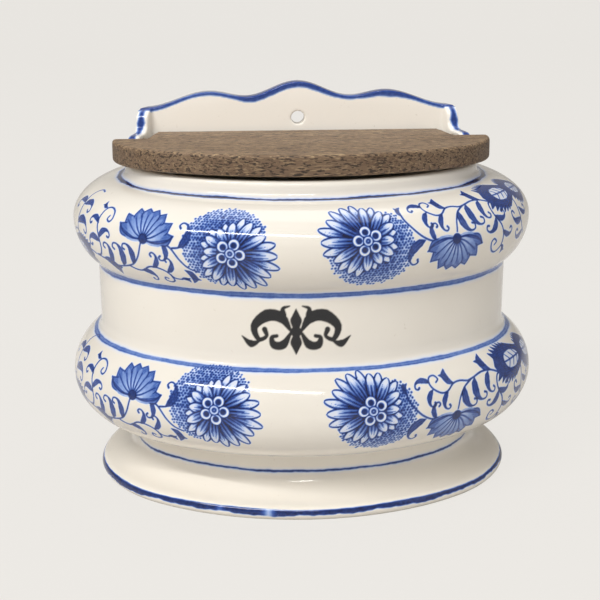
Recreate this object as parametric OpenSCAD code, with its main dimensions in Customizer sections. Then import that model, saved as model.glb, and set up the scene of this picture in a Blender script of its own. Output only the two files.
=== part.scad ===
// Salt box to hang on a wall: a glazed pot with two bulges and a scalloped backboard,
// and a wooden lid that turns on two pins between the cheeks.
// Lengths are in millimetres. The front is toward -Y and the foot stands at Z = 0.
// Plans are drawn with the wall at Y = 0, and each piece is then moved back by half the depth.

/* [Plan] */
// Distance from the wall to the widest line of the pot
widest_y = 28; // [24:1:34]
// Plan step of the pot: side arcs are centred 3 steps out, the front arc 4 steps back
plan_step = 7; // [5:0.5:9]

/* [Foot] */
// How far the foot's rim comes out past the stem
foot_flare = 13.2; // [10:0.2:16]
// Height of the rounded rim of the foot
foot_rim_h = 4.6; // [3.6:0.2:6]
// Height at which the flare of the foot ends
flare_top_z = 12; // [10:0.5:14]
// Depth of the hollow under the foot
recess_depth = 3; // [1:0.5:4]
// Width of the ring that the pot stands on
ring_w = 9; // [7:0.5:14]

/* [Stem] */
// How far the stem between foot and lower bulge is set in from the lower bulge
stem_in = 21.4; // [19:0.2:23]

/* [Lower bulge] */
// Height of the middle of the lower bulge
low_z = 37; // [35:0.5:39]
// Radius of the lower bulge's section above its middle
low_r = 17.2; // [16:0.2:19]
// Height of the lower bulge below its middle
low_drop = 17.8; // [16:0.2:19]
// Half width of the lower bulge, the widest part of the pot
low_half_w = 80.6; // [76:0.2:84]

/* [Waist] */
// How far the waist is set in from the lower bulge
waist_in = 10.2; // [8.4:0.2:12]

/* [Upper bulge] */
// Height of the middle of the upper bulge
up_z = 91.5; // [90:0.5:94]
// Radius of the upper bulge's section below its middle
up_r = 18.6; // [17:0.2:20]
// How far the upper bulge is set in from the lower bulge
up_in = 2; // [0.8:0.2:3.2]
// Height of the shoulder above the middle of the upper bulge
shoulder_h = 13; // [12:0.2:14]

/* [Collar] */
// How far the collar is set in from the upper bulge
collar_in = 18.2; // [16.6:0.2:20]
// Height of the rim that the lid lies on
rim_z = 109.8; // [108.6:0.2:113]
// Radius of the rounded edges of the rim
rim_round = 1.5; // [0.8:0.1:1.7]
// Wall of the collar and the cheeks
collar_wall = 4; // [3.6:0.1:5]

/* [Walls] */
// Wall of the bulges and the waist
body_wall = 5; // [4:0.2:6]
// Thickness of the flat back and the backboard
back_t = 6; // [5:0.2:7]
// Height of the floor inside
floor_z = 11; // [9:0.5:13]

/* [Backboard] */
// Height of the middle crest of the backboard
crest_z = 133.2; // [131:0.2:140]
// Height of the dips beside the crest
dip_z = 128; // [126:0.2:131]
// Distance of the dips from the middle
dip_x = 18.6; // [16:0.2:22]
// Height of the side lobes
lobe_z = 129.8; // [128:0.2:134]
// Distance of the side lobes from the middle
lobe_x = 31.4; // [29:0.2:36]
// Height of the ends of the backboard
end_z = 124.4; // [123.4:0.2:127]
// Radius of the hole for the wall hook
hole_r = 2.4; // [2:0.1:3]
// Height of the hole for the wall hook
hole_z = 120.4; // [120:0.2:123]

/* [Cheeks] */
// How far the upper part of a cheek comes out from the wall
cheek_top_y = 9.6; // [8:0.2:10]
// Height of the lower part of a cheek above the rim
cheek_low_h = 6.6; // [6.2:0.2:7]
// Gap between a cheek's front edge and the lid's ear
cheek_gap = 3.5; // [2:0.1:4.5]

/* [Lid] */
// Thickness of the lid
lid_t = 7; // [6:0.2:8]
// How far the lid's ears reach past the collar
lid_over = 4.2; // [2:0.2:7]
// Plan step of the lid
lid_step = 8.75; // [7.5:0.25:9]
// Distance from the wall to the rear edge of the ears
ear_y = 27.5; // [25.5:0.5:28]
// Gap between the tongue and each cheek, at the ears
tongue_side_gap = 3.6; // [2.6:0.1:5]
// How much narrower the tongue is at its rear edge, on each side
tongue_taper = 2.8; // [2:0.2:4]
// Gap between the tongue's rear edge and the backboard
tongue_gap = 1.7; // [1.2:0.1:2.5]
// Angle at which the closed lid rests, with its front a little up
rest_tilt = 1.8; // [0:0.1:3]
// Rounding of the lid's edges
lid_round = 0.9; // [0.4:0.1:1.4]
// Rounding of the ears' rear corners in plan
ear_round = 2.4; // [1:0.2:4]

/* [Hinge] */
// Radius of a hinge pin
pin_r = 1.5; // [1.2:0.1:2]
// Distance from the wall to the hinge axis
pin_y = 13.6; // [13:0.1:15]
// Running clearance of a pin in its cheek, on the radius
pin_clear = 0.06; // [0.03:0.01:0.1]
// How much a pin is larger than its hole in the lid, on the radius
pin_press = 0.01; // [0:0.005:0.02]
// Length of a pin inside the lid
pin_grip = 10; // [6:0.5:16]
// How far a pin's end stays inside the cheek's outer face
pin_sink = 0.6; // [0.2:0.1:1.5]

/* [Hidden] */
$fn = 96;
big = 400;

glaze_colour = [0.93, 0.90, 0.83];
wood_colour = [0.42, 0.32, 0.23];
brass_colour = [0.78, 0.62, 0.30];

// Small steps that ease the bulges into the waist
waist_ease = 1;
waist_ease_h = 3.2;
up_ease = 0.2;

// Half of the whole depth, from the wall to the front of the lower bulge
half_depth = (widest_y + low_half_w - 2 * plan_step) / 2;

// The slanted cuts at the ends of the front arc have legs of 3 and 4 times this length
reach = 50;

// Half widths of the pot, each set in from the one it grows out of
stem_half_w = low_half_w - stem_in;
foot_half_w = stem_half_w + foot_flare;
waist_half_w = low_half_w - waist_in;
up_half_w = low_half_w - up_in;
collar_half_w = up_half_w - collar_in;
lid_half_w = collar_half_w + lid_over;
tongue_half_w = collar_half_w - collar_wall - tongue_side_gap;

// Foot and stem
rim_edge_r = foot_rim_h / 2;
foot_edge_in = 1.2;
flare_w = foot_flare - foot_edge_in;
flare_h = flare_top_z - foot_rim_h;

// Lower bulge: a quarter oval below its middle and a circle above it, up to the waist
low_x = low_half_w - low_r;
low_meet = acos((waist_half_w + waist_ease - low_x) / low_r);
low_top_z = low_z + low_r * sin(low_meet);

// Upper bulge: a circle below the middle and a flatter quarter oval above it
up_x = up_half_w - up_r;
up_meet = acos((waist_half_w + up_ease - up_x) / up_r);
up_low_z = up_z - up_r * sin(up_meet);
neck_z = up_z + shoulder_h;
neck_ease = 0.6;
neck_ease_h = 1.8;

// Inner wall, one wall thickness inside
in_low_r = low_r - body_wall;
in_up_r = up_r - body_wall;
in_stem_w = stem_half_w - body_wall;
in_waist_w = waist_half_w - body_wall;
in_collar_w = collar_half_w - collar_wall;
in_low_w = stem_in - body_wall;
in_low_drop = low_drop - body_wall;
in_shoulder_w = collar_in - body_wall;
in_shoulder_h = shoulder_h - body_wall;
in_neck_z = up_z + in_shoulder_h;
in_waist_ease = 4.4;
floor_round = 4;
in_step = 1.4;
edge_step = 0.4;

// Backboard: length of the level end of its scalloped edge
end_flat = 6;

// Lid: it rests on the rim at the rear edge of its ears and turns about the pins
rest_lift = 0.02;
pin_z = rim_z + rest_lift + (ear_y - pin_y) * sin(-rest_tilt) + lid_t / 2 / cos(rest_tilt);
lid_low = -lid_t / 2;
ear_ease = 1.14;
tongue_lap = 4;
tongue_y = back_t + tongue_gap;

// The cheek at the hinge: its outer and inner half widths
cheek_out_x = sqrt(pow(collar_half_w, 2) - pow(widest_y - pin_y, 2));
pin_out_x = cheek_out_x - pin_sink;
tongue_at_pin = tongue_half_w - tongue_taper * (ear_y - pin_y) / (ear_y - tongue_y);
pin_in_x = tongue_at_pin - pin_grip;

// Points of an arc about [x, z], from one angle to another
function arc(x, z, r, a0, a1, n) =
    [for (i = [0:n]) let (t = a0 + (a1 - a0) * i / n) [x + r * cos(t), z + r * sin(t)]];

// Points of an upright oval quarter about [x, z]
function oval(x, z, w, h, a0, a1, n) =
    [for (i = [0:n]) let (t = a0 + (a1 - a0) * i / n) [x + w * cos(t), z + h * sin(t)]];

// A smooth step from [x0, z0] to [x1, z1], level at both ends
function wave(x0, z0, x1, z1, n) =
    [for (i = [0:n]) let (t = i / n) [x0 + (x1 - x0) * t, z0 + (z1 - z0) * (1 - cos(180 * t)) / 2]];

// Outer section of the pot as [half width, height], from the foot up to the rim
function outer_path() = concat(
    [[foot_half_w - foot_edge_in - edge_step, 0]],
    arc(foot_half_w - rim_edge_r, rim_edge_r, rim_edge_r, -35, 70, 8),
    oval(stem_half_w + flare_w, flare_top_z, -flare_w, -flare_h, 80, 0, 8),
    oval(stem_half_w, low_z, stem_in, low_drop, -86, 0, 14),
    arc(low_x, low_z, low_r, low_meet / 10, low_meet, 9),
    [[waist_half_w + waist_ease / 3, low_top_z + waist_ease_h / 2.6]],
    [[waist_half_w, low_top_z + waist_ease_h]],
    arc(up_x, up_z, up_r, -up_meet, 0, 10),
    oval(collar_half_w, up_z, collar_in, shoulder_h, 7, 84, 12),
    [[collar_half_w + neck_ease, neck_z + neck_ease]],
    [[collar_half_w, neck_z + neck_ease_h]],
    arc(collar_half_w - rim_round, rim_z - rim_round, rim_round, 0, 90, 4)
);

// Inner section of the pot, from the floor inside up past the rim
function inner_path() = concat(
    arc(in_stem_w - floor_round, floor_z + floor_round, floor_round, -90, 0, 6),
    [[in_stem_w, low_z - in_low_drop - in_step]],
    [[in_stem_w + in_step, low_z - in_low_drop]],
    oval(stem_half_w, low_z, in_low_w, in_low_drop, -80, 0, 9),
    arc(low_x, low_z, in_low_r, low_meet / 6, low_meet, 5),
    [[in_waist_w, low_z + in_low_r * sin(low_meet) + in_waist_ease]],
    [[in_waist_w, up_z - in_up_r * sin(up_meet) - in_waist_ease]],
    arc(up_x, up_z, in_up_r, -up_meet, 0, 8),
    oval(collar_half_w, up_z, in_shoulder_w, in_shoulder_h, 10, 80, 7),
    [[in_collar_w + in_step, in_neck_z + edge_step / 2]],
    [[in_collar_w, in_neck_z + neck_ease_h]],
    arc(in_collar_w + rim_round, rim_z - rim_round, rim_round, 180, 90, 4),
    [[in_collar_w + rim_round, rim_z + 1]]
);

// A section moved sideways and closed along its turning axis
function closed_at_axis(path, dx) = concat(
    [[0, path[0][1]]],
    [for (p = path) [p[0] + dx, p[1]]],
    [[0, path[len(path) - 1][1]]]
);

// An upright prism over an outline, taller than the part both ways
module tall_prism(points) {
    translate([0, 0, -big / 2])
        linear_extrude(height = big)
            polygon(points);
}

// One side of a swept solid, a quarter turn. Past the line where the front arc starts it lies
// inside the front part, so the two overlap and don't only touch.
module side_sweep(path, step) {
    translate([3 * step, 0, 0])
        rotate([0, 0, -90])
            rotate_extrude(angle = 90)
                polygon(closed_at_axis(path, -3 * step));
}

// A solid whose plan is the pot's: a half round rear, two side arcs and a flatter front arc.
// The front arc ends on two planes with a slope of 4 to 3, where it has the side arcs' direction.
module plan_sweep(path, step) {
    translate([0, -widest_y, 0]) {
        rotate_extrude(angle = 180)
            polygon(closed_at_axis(path, 0));
        side_sweep(path, step);
        mirror([1, 0, 0])
            side_sweep(path, step);
        intersection() {
            translate([0, 4 * step, 0])
                rotate([0, 0, -180])
                    rotate_extrude(angle = 180)
                        polygon(closed_at_axis(path, 2 * step));
            tall_prism([
                [-3 * step, 0],
                [3 * step, 0],
                [3 * step + 3 * reach, -4 * reach],
                [-3 * step - 3 * reach, -4 * reach]
            ]);
        }
    }
}

// Everything in front of a plane parallel to the wall
module in_front_of(y) {
    translate([-big / 2, -big - y, -big / 2])
        cube([big, big, big]);
}

// The open pot, with its rounded rim and its flat back wall
module pot() {
    difference() {
        intersection() {
            plan_sweep(outer_path(), plan_step);
            in_front_of(0);
        }
        intersection() {
            plan_sweep(inner_path(), plan_step);
            in_front_of(back_t);
        }
    }
}

// Upper edge of the backboard on one side, from the middle outward
function scallop() = concat(
    wave(0, crest_z, dip_x, dip_z, 14),
    wave(dip_x, dip_z, lobe_x, lobe_z, 10),
    wave(lobe_x, lobe_z, collar_half_w - end_flat, end_z, 14),
    [[collar_half_w + 1, end_z]]
);

// Side view of a cheek as [distance from the wall, height]
cheek_front_y = ear_y - cheek_gap;
cheek_low_z = rim_z + cheek_low_h;
cheek_corner = 6;
cheek_hollow = 3;
cheek_crown = 4.6;
function cheek_side() = concat(
    [[0, rim_z - 3]],
    [[cheek_front_y, rim_z - 3]],
    arc(cheek_front_y - cheek_corner, cheek_low_z - cheek_corner, cheek_corner, 0, 90, 6),
    arc(cheek_top_y + cheek_hollow, cheek_low_z + cheek_hollow, cheek_hollow, 270, 180, 5),
    arc(cheek_top_y - cheek_crown, end_z - cheek_crown, cheek_crown, 0, 90, 5),
    [[0, end_z]]
);

// Backboard and cheeks: they stand on the rear of the collar and share its outer face
module upstand() {
    difference() {
        intersection() {
            translate([0, -widest_y, rim_z - 3])
                cylinder(r = collar_half_w, h = crest_z - rim_z + 10);
            in_front_of(0);
            union() {
                rotate([90, 0, 0])
                    linear_extrude(height = back_t)
                        for (side = [1, -1])
                            scale([side, 1])
                                polygon(concat([[0, rim_z - 3]], scallop(), [[collar_half_w + 1, rim_z - 3]]));
                translate([-big / 2, 0, 0])
                    rotate([90, 0, 90])
                        linear_extrude(height = big)
                            polygon([for (p = cheek_side()) [-p[0], p[1]]]);
            }
        }
        intersection() {
            translate([0, -widest_y, rim_z - 4])
                cylinder(r = in_collar_w, h = crest_z);
            in_front_of(back_t);
        }
    }
}

// Hollow under the foot, inside the ring that the pot stands on
module foot_recess() {
    intersection() {
        plan_sweep([
            [foot_half_w - ring_w, -1],
            [foot_half_w - ring_w, 0],
            [foot_half_w - ring_w - recess_depth / 2, recess_depth]
        ], plan_step);
        in_front_of(ring_w);
    }
}

// A round bar along X from one x to another
module bar_x(r, x0, x1, y, z) {
    translate([x0, y, z])
        rotate([0, 90, 0])
            cylinder(r = r, h = x1 - x0);
}

module crock() {
    color(glaze_colour)
        difference() {
            union() {
                pot();
                upstand();
            }
            foot_recess();
            translate([0, 1, hole_z])
                rotate([90, 0, 0])
                    cylinder(r = hole_r, h = back_t + 2);
            bar_x(pin_r + pin_clear, pin_in_x, big / 2, -pin_y, pin_z);
            bar_x(pin_r + pin_clear, -big / 2, -pin_in_x, -pin_y, pin_z);
        }
}

// Edge section of the lid, about its own mid height
function lid_path() = concat(
    arc(lid_half_w - lid_round, lid_low + lid_round, lid_round, -90, 0, 4),
    arc(lid_half_w - lid_round, -lid_low - lid_round, lid_round, 0, 90, 4)
);

// What the rounded rear corner of an ear takes away: the round is a little wider than its square,
// so it leaves both edges of the ear at a slight angle
module ear_corner() {
    x = sqrt(pow(lid_half_w, 2) - pow(widest_y - ear_y, 2));
    translate([x - ear_round, -ear_y - ear_round, -lid_t])
        difference() {
            cube([3 * ear_round, 3 * ear_round, 2 * lid_t]);
            translate([0, 0, -1])
                cylinder(r = ear_round * ear_ease, h = 2 * lid_t + 2);
        }
}

// The lid lying level, with its mid height at Z = 0
module flat_lid() {
    difference() {
        intersection() {
            plan_sweep(lid_path(), lid_step);
            in_front_of(ear_y);
        }
        ear_corner();
        mirror([1, 0, 0])
            ear_corner();
    }
    translate([0, 0, lid_low])
        linear_extrude(height = lid_t)
            polygon([
                [-tongue_half_w, -ear_y - tongue_lap],
                [tongue_half_w, -ear_y - tongue_lap],
                [tongue_half_w, -ear_y],
                [tongue_half_w - tongue_taper, -tongue_y],
                [-tongue_half_w + tongue_taper, -tongue_y],
                [-tongue_half_w, -ear_y]
            ]);
}

// Turns a level thing about the hinge axis to the closed lid's angle and height
module at_rest() {
    translate([0, -pin_y, pin_z])
        rotate([-rest_tilt, 0, 0])
            translate([0, pin_y, 0])
                children();
}

module lid() {
    color(wood_colour)
        at_rest()
            difference() {
                flat_lid();
                bar_x(pin_r - pin_press, pin_in_x - 0.5, big / 2, -pin_y, 0);
                bar_x(pin_r - pin_press, -big / 2, -pin_in_x + 0.5, -pin_y, 0);
            }
}

module hinge_pin_right() {
    color(brass_colour)
        bar_x(pin_r, pin_in_x, pin_out_x, -pin_y, pin_z);
}

module hinge_pin_left() {
    color(brass_colour)
        bar_x(pin_r, -pin_out_x, -pin_in_x, -pin_y, pin_z);
}

// Moves a piece from the wall's plane to the middle of the depth
module placed() {
    translate([0, half_depth, 0])
        children();
}

placed() crock();
placed() lid();
placed() hinge_pin_left();
placed() hinge_pin_right();
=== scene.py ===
"""Looks of a wall salt box: glazed pot with painted flowers, wooden lid, two hinge pins.

Lengths are in millimetres and follow the part's own sizes. Formulas have the wall at y = 0,
and meshes are then moved back by half the depth, as the solids are. A painted skin covers
the pot from the foot to the collar. The rest of the pot and the lid are copies of the solids
with softened edges, and the pins are the solids themselves.
"""
import math

import bmesh
import bpy
import numpy as np
from mathutils import Matrix, Vector


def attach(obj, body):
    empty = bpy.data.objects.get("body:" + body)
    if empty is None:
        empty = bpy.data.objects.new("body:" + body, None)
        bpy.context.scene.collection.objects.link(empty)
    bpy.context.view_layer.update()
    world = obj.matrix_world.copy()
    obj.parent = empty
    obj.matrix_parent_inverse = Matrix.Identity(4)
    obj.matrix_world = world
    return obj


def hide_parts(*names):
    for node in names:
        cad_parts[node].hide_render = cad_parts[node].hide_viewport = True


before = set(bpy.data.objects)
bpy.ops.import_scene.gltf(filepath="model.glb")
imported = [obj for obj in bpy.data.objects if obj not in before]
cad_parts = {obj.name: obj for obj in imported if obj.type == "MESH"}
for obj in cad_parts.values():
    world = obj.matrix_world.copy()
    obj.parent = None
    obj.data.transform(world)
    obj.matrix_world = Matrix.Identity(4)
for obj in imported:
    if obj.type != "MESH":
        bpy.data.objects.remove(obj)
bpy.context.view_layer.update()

MM = 0.001
HALF_DEPTH = 47.3

# Sizes of the pot, as in its solids
WIDEST_Y = 28
PLAN_STEP = 7
FOOT_W, FOOT_RIM_H, FOOT_EDGE_IN, FOOT_UNDER_IN = 72.4, 4.6, 1.2, 0.4
FLARE_TOP = 12
STEM_W = 59.2
LOW_Z, LOW_R, LOW_DROP, LOW_W = 37, 17.2, 17.8, 80.6
WAIST_W, WAIST_EASE, WAIST_EASE_H = 70.4, 1, 3.2
WAIST_TURN_OUT, WAIST_TURN_H = 0.33, 1.23
UP_Z, UP_R, UP_W, UP_EASE = 91.5, 18.6, 78.6, 0.2
SHOULDER_H = 13
COLLAR_W, COLLAR_WALL = 60.4, 4
NECK_EASE, NECK_TURN_H, NECK_EASE_H = 0.6, 0.6, 1.8
RIM_Z, RIM_ROUND = 109.8, 1.5
CREST_Z, DIP_Z, DIP_X = 133.2, 128, 18.6
LOBE_Z, LOBE_X, END_Z, END_FLAT = 129.8, 31.4, 124.4, 6
CHEEK_TOP_Y, CHEEK_FRONT_Y, CHEEK_LOW_Z = 9.6, 24, 116.4
CORNER_R, HOLLOW_R, CROWN_R = 6, 3, 4.6

# Plan: places of the side arcs' and front arc's centres, and what the front arc is wider by
SIDE_OUT, FRONT_BACK, FRONT_WIDER = 3 * PLAN_STEP, 4 * PLAN_STEP, 2 * PLAN_STEP
SIDE_DEG = math.degrees(math.atan2(4, 3))

# Painted skin: grid step, distance from the solid, half width where lengths are measured
GRID_STEP = 0.27
SKIN_LIFT = 0.02
REF_W = 78
PLAN_SAMPLES = 20001

# Section: sampling step, softness of the glazed corners, and its reach in softnesses
SECTION_FINE, SOFTNESS, SOFT_REACH = 0.05, 0.7, 4

# Canvases: size of one cell, and for each its half length and its part of the section
CELL = 0.14
UPPER_CANVAS, LOWER_CANVAS, WAIST_CANVAS = (145, 96, 143), (145, 28, 78), (40, 74, 102)

# Softness of a shape's edge, of the outline inside it, and of a line round the pot
SHAPE_EDGE, OUTLINE_EDGE, BAND_EDGE = 0.16, 0.12, 0.22

# Lines round the pot: place along the section, width, seed, tone, and for some a drift and
# the tone of a pale halo
FOOT_LINE = (3.55, 1.9, 9, 0.90, 0.3)
STEM_LINE = (20.9, 0.65, 11, 0.92, 0.2, 0.06)
LOW_LINE = (75, 1.5, 12, 0.74)
UP_LINE = (99.9, 1.8, 13, 0.82)
NECK_LINE = (140.6, 1.35, 14, 0.95, 0.3, 0.12)

# Foot line: where and over what length it changes, how much it rises and thins, and its dry
# places with their reach and missing share
THIN_FROM, THIN_OVER, THIN_UP, THIN_LESS = 5, 70, 0.5, 0.35
FOOT_GAPS = ((-15.5, 1.8, 0.75), (-33, 1.4, 0.35))

# Skin bands, as lengths along the section, and the height where the skin ends
CUT_STEM_H, CUT_LOW_H, CUT_UP_H = 25, 76.6, 97.6
SKIN_TOP_Z = RIM_Z - 2.2

# Copied faces that go: nearness to the skin, lowest place, space to its top and to the wall
COVER_NEAR, COVER_FROM_Z, COVER_BELOW_TOP, COVER_WALL = 2.2, 1.5, 1, 2

# Cut between the fine copy of the backboard and the coarser copy of the rest of the pot
FINE_FROM_Z, COARSE_TO_Z = 104, 106

# Copies: size of a cell of the even mesh, and rounds of smoothing
BODY_VOXEL, BOARD_VOXEL, LID_VOXEL = ((0.85, 0.45, 0.42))
GLAZE_ROUNDS, WOOD_ROUNDS = 4, 2
SMOOTH_FACTOR = 0.5
SAME_PLACE = 1e-7


def oval(x, z, w, h, a0, a1, n):
    """Points of an upright oval about (x, z), from one angle to another."""
    t = np.radians(np.linspace(a0, a1, n))
    return np.stack([x + w * np.cos(t), z + h * np.sin(t)], 1)


def raw_section():
    """Outer section of the pot as half width and height, from the foot up to the rim."""
    low_x, up_x = LOW_W - LOW_R, UP_W - UP_R
    low_meet = math.degrees(math.acos((WAIST_W + WAIST_EASE - low_x) / LOW_R))
    up_meet = math.degrees(math.acos((WAIST_W + UP_EASE - up_x) / UP_R))
    flare_w, flare_h = FOOT_W - STEM_W - FOOT_EDGE_IN, FLARE_TOP - FOOT_RIM_H
    waist_z = LOW_Z + LOW_R * math.sin(math.radians(low_meet))
    edge = FOOT_RIM_H / 2
    neck_z = UP_Z + SHOULDER_H
    return np.vstack([
        [[FOOT_W - FOOT_EDGE_IN - FOOT_UNDER_IN, 0.0]],
        oval(FOOT_W - edge, edge, edge, edge, -35, 70, 20),
        oval(STEM_W + flare_w, FLARE_TOP, -flare_w, -flare_h, 80, 0, 24),
        oval(STEM_W, LOW_Z, LOW_W - STEM_W, LOW_DROP, -88, 0, 60),
        oval(low_x, LOW_Z, LOW_R, LOW_R, 1, low_meet, 60),
        [[WAIST_W + WAIST_TURN_OUT, waist_z + WAIST_TURN_H], [WAIST_W, waist_z + WAIST_EASE_H]],
        oval(up_x, UP_Z, UP_R, UP_R, -up_meet, 0, 40),
        oval(COLLAR_W, UP_Z, UP_W - COLLAR_W, SHOULDER_H, 2, 84, 50),
        [[COLLAR_W + NECK_EASE, neck_z + NECK_TURN_H], [COLLAR_W, neck_z + NECK_EASE_H]],
        oval(COLLAR_W - RIM_ROUND, RIM_Z - RIM_ROUND, RIM_ROUND, RIM_ROUND, 0, 90, 10),
    ])


def soft_section(step, softness):
    """The section with glaze-soft corners, in even steps: points and their length along it."""
    points = raw_section()
    along = np.r_[0, np.cumsum(np.hypot(*np.diff(points, axis=0).T))]
    even = np.arange(0, along[-1], SECTION_FINE)
    q = np.stack([np.interp(even, along, points[:, i]) for i in (0, 1)], 1)
    n = int(SOFT_REACH * softness / SECTION_FINE)
    kernel = np.exp(-0.5 * (np.arange(-n, n + 1) * SECTION_FINE / softness) ** 2)
    kernel /= kernel.sum()
    padded = np.vstack([2 * q[0] - q[n:0:-1], q, 2 * q[-1] - q[-2:-n - 2:-1]])
    q = np.stack([np.convolve(padded[:, i], kernel, "valid") for i in (0, 1)], 1)
    h = np.r_[0, np.cumsum(np.hypot(*np.diff(q, axis=0).T))]
    rows = np.linspace(0, h[-1], int(h[-1] / step) + 1)
    return np.stack([np.interp(rows, h, q[:, i]) for i in (0, 1)], 1), rows


def plan_parts(phi):
    """Centre and offset of the plan arc at each angle: 0 is right, -90 front, -180 left."""
    right = (phi < 0) & (phi >= -SIDE_DEG)
    front = (phi < -SIDE_DEG) & (phi > SIDE_DEG - 180)
    left = (phi <= SIDE_DEG - 180) & (phi > -180)
    cx = SIDE_OUT * right - SIDE_OUT * left
    return cx, FRONT_BACK * front - WIDEST_Y, SIDE_OUT * (right | left) - FRONT_WIDER * front


def plan_length(phi):
    """Length round the front at the reference half width, 0 in the middle, right positive."""
    rad = np.radians
    q, f = np.abs(phi + 90), 90 - SIDE_DEG
    r_front, r_side = REF_W + FRONT_WIDER, REF_W - SIDE_OUT
    side = rad(f) * r_front + rad(np.clip(q, f, 90) - f) * r_side
    side = side + rad(np.maximum(q, 90) - 90) * REF_W
    return np.where(q <= f, rad(q) * r_front, side) * np.sign(phi + 90)


def half_width(x, y):
    """The half width whose plan curve goes through (x, y)."""
    py, ax = y + WIDEST_Y, np.abs(x)
    side = SIDE_OUT + np.hypot(ax - SIDE_OUT, py)
    front = np.hypot(x, py - FRONT_BACK) - FRONT_WIDER
    on_side = FRONT_BACK * (ax - SIDE_OUT) + SIDE_OUT * py >= 0
    return np.where(py >= 0, np.hypot(x, py), np.where(on_side, side, front))


class Canvas:
    """A band of the pot laid flat that holds how dark the paint is, from 0 to 1."""

    def __init__(self, half, h0, h1):
        self.s0, self.h0 = -half, h0
        self.tone = np.zeros((int((h1 - h0) / CELL) + 1, int(2 * half / CELL) + 1))

    def window(self, s0, s1, h0, h1):
        """The cells of a box and their places. A box that lies outside has none."""
        spans = []
        for low, high, start, count in zip((h0, s0), (h1, s1), (self.h0, self.s0),
                                           self.tone.shape):
            first = min(max(0, int((low - start) / CELL)), count)
            last = max(first, min(count, int((high - start) / CELL) + 2))
            spans.append(slice(first, last))
        hh, ss = np.mgrid[tuple(spans)]
        return tuple(spans), ss * CELL + self.s0, hh * CELL + self.h0

    def lay(self, where, cover, tone):
        """Lays a tone over the cells, as strongly as the cover says."""
        self.tone[where] += cover * (tone - self.tone[where])

    def sample(self, s, h):
        """Tones at places between the cells, and 0 outside the canvas."""
        rows, cols = self.tone.shape
        j, i = (s - self.s0) / CELL, (h - self.h0) / CELL
        inside = (j > 0) & (j < cols - 1) & (i > 0) & (i < rows - 1)
        j, i = np.clip(j, 0, cols - 1.001), np.clip(i, 0, rows - 1.001)
        i0, j0 = i.astype(int), j.astype(int)
        fi, fj = i - i0, j - j0
        t = self.tone
        near = (t[i0, j0] * (1 - fi) + t[i0 + 1, j0] * fi) * (1 - fj)
        return inside * (near + (t[i0, j0 + 1] * (1 - fi) + t[i0 + 1, j0 + 1] * fi) * fj)


def soft(d, edge=SHAPE_EDGE):
    """1 inside a shape and 0 outside, from a distance that is negative inside."""
    return np.clip(0.5 - d / (2 * edge), 0, 1)


# Points on a brush line, and a distance beyond any brush
LINE_POINTS = 26
FAR = 9.0


def smooth_line(points):
    """A flowing line through the points."""
    p = np.asarray(points, float)
    if len(p) < 3:
        t = np.linspace(0, 1, LINE_POINTS)[:, None]
        return p[0] * (1 - t) + p[-1] * t
    ends = np.vstack([2 * p[0] - p[1], p, 2 * p[-1] - p[-2]])
    per = max(3, int(LINE_POINTS / (len(p) - 1)))
    out = []
    for i in range(1, len(ends) - 2):
        a, b, c, d = ends[i - 1:i + 3]
        t = np.linspace(0, 1, per, endpoint=False)[:, None]
        out.append(0.5 * (2 * b + (c - a) * t + (2 * a - 5 * b + 4 * c - d) * t ** 2
                          + (3 * b - a - 3 * c + d) * t ** 3))
    return np.vstack(out + [p[-1:]])


# Veins in a brush shape: rate, slant and the level above which they are dark. A fading fill:
# rate and start. Room round a shape.
VEIN_RATE, VEIN_SLANT, VEIN_LEVEL = 8.5, 5, 0.35
FADE_RATE, FADE_START = 1.3, 0.1
BOX_PAD = 0.6


def blade(c, points, widths, fill=0.8, line=0.95, edge=0.3, fade=None, ribs=0.0):
    """A brush shape along a flowing line: widths are spread along it, with a darker outline.

    fade gives another tone that the fill turns into toward the end, and ribs adds dark veins.
    """
    spine = smooth_line(points)
    n = len(spine) - 1
    half = np.interp(np.linspace(0, 1, n + 1), np.linspace(0, 1, len(widths)), widths) / 2
    pad = max(widths) + BOX_PAD
    where, s, h = c.window(spine[:, 0].min() - pad, spine[:, 0].max() + pad,
                           spine[:, 1].min() - pad, spine[:, 1].max() + pad)
    best = np.full(s.shape, FAR)
    along, across = np.zeros(s.shape), np.zeros(s.shape)
    for i in range(n):
        (x0, y0), (x1, y1) = spine[i], spine[i + 1]
        dx, dy = x1 - x0, y1 - y0
        t = np.clip(((s - x0) * dx + (h - y0) * dy) / (dx * dx + dy * dy + 1e-9), 0, 1)
        off = np.hypot(s - x0 - t * dx, h - y0 - t * dy)
        d = off - (half[i] + (half[i + 1] - half[i]) * t)
        nearer = d < best
        best = np.where(nearer, d, best)
        along = np.where(nearer, (i + t) / n, along)
        across = np.where(nearer, off, across)
    tone = np.full(s.shape, float(fill))
    if fade is not None:
        tone = fill + (fade - fill) * np.clip(along * FADE_RATE - FADE_START, 0, 1)
    if ribs:
        tone = tone + ribs * (np.sin(across * VEIN_RATE + along * VEIN_SLANT) > VEIN_LEVEL)
    tone = tone + (line - tone) * soft(-best - edge, OUTLINE_EDGE)
    c.lay(where, soft(best), np.clip(tone, 0, 1))


def stroke(c, points, w0, w1, tone):
    """A plain stroke from one width to another."""
    blade(c, points, (w0, w1), fill=tone, line=tone)


def disc(c, x, y, r, tone, ring=None, line=0.25):
    """A round spot, with a ring of another tone round it where ring is given."""
    where, s, h = c.window(x - r - 1, x + r + 1, y - r - 1, y + r + 1)
    d = np.hypot(s - x, h - y) - r
    fill = np.full_like(d, tone)
    if ring is not None:
        fill = fill + (ring - fill) * soft(-d - line, OUTLINE_EDGE)
    c.lay(where, soft(d), fill)


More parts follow.
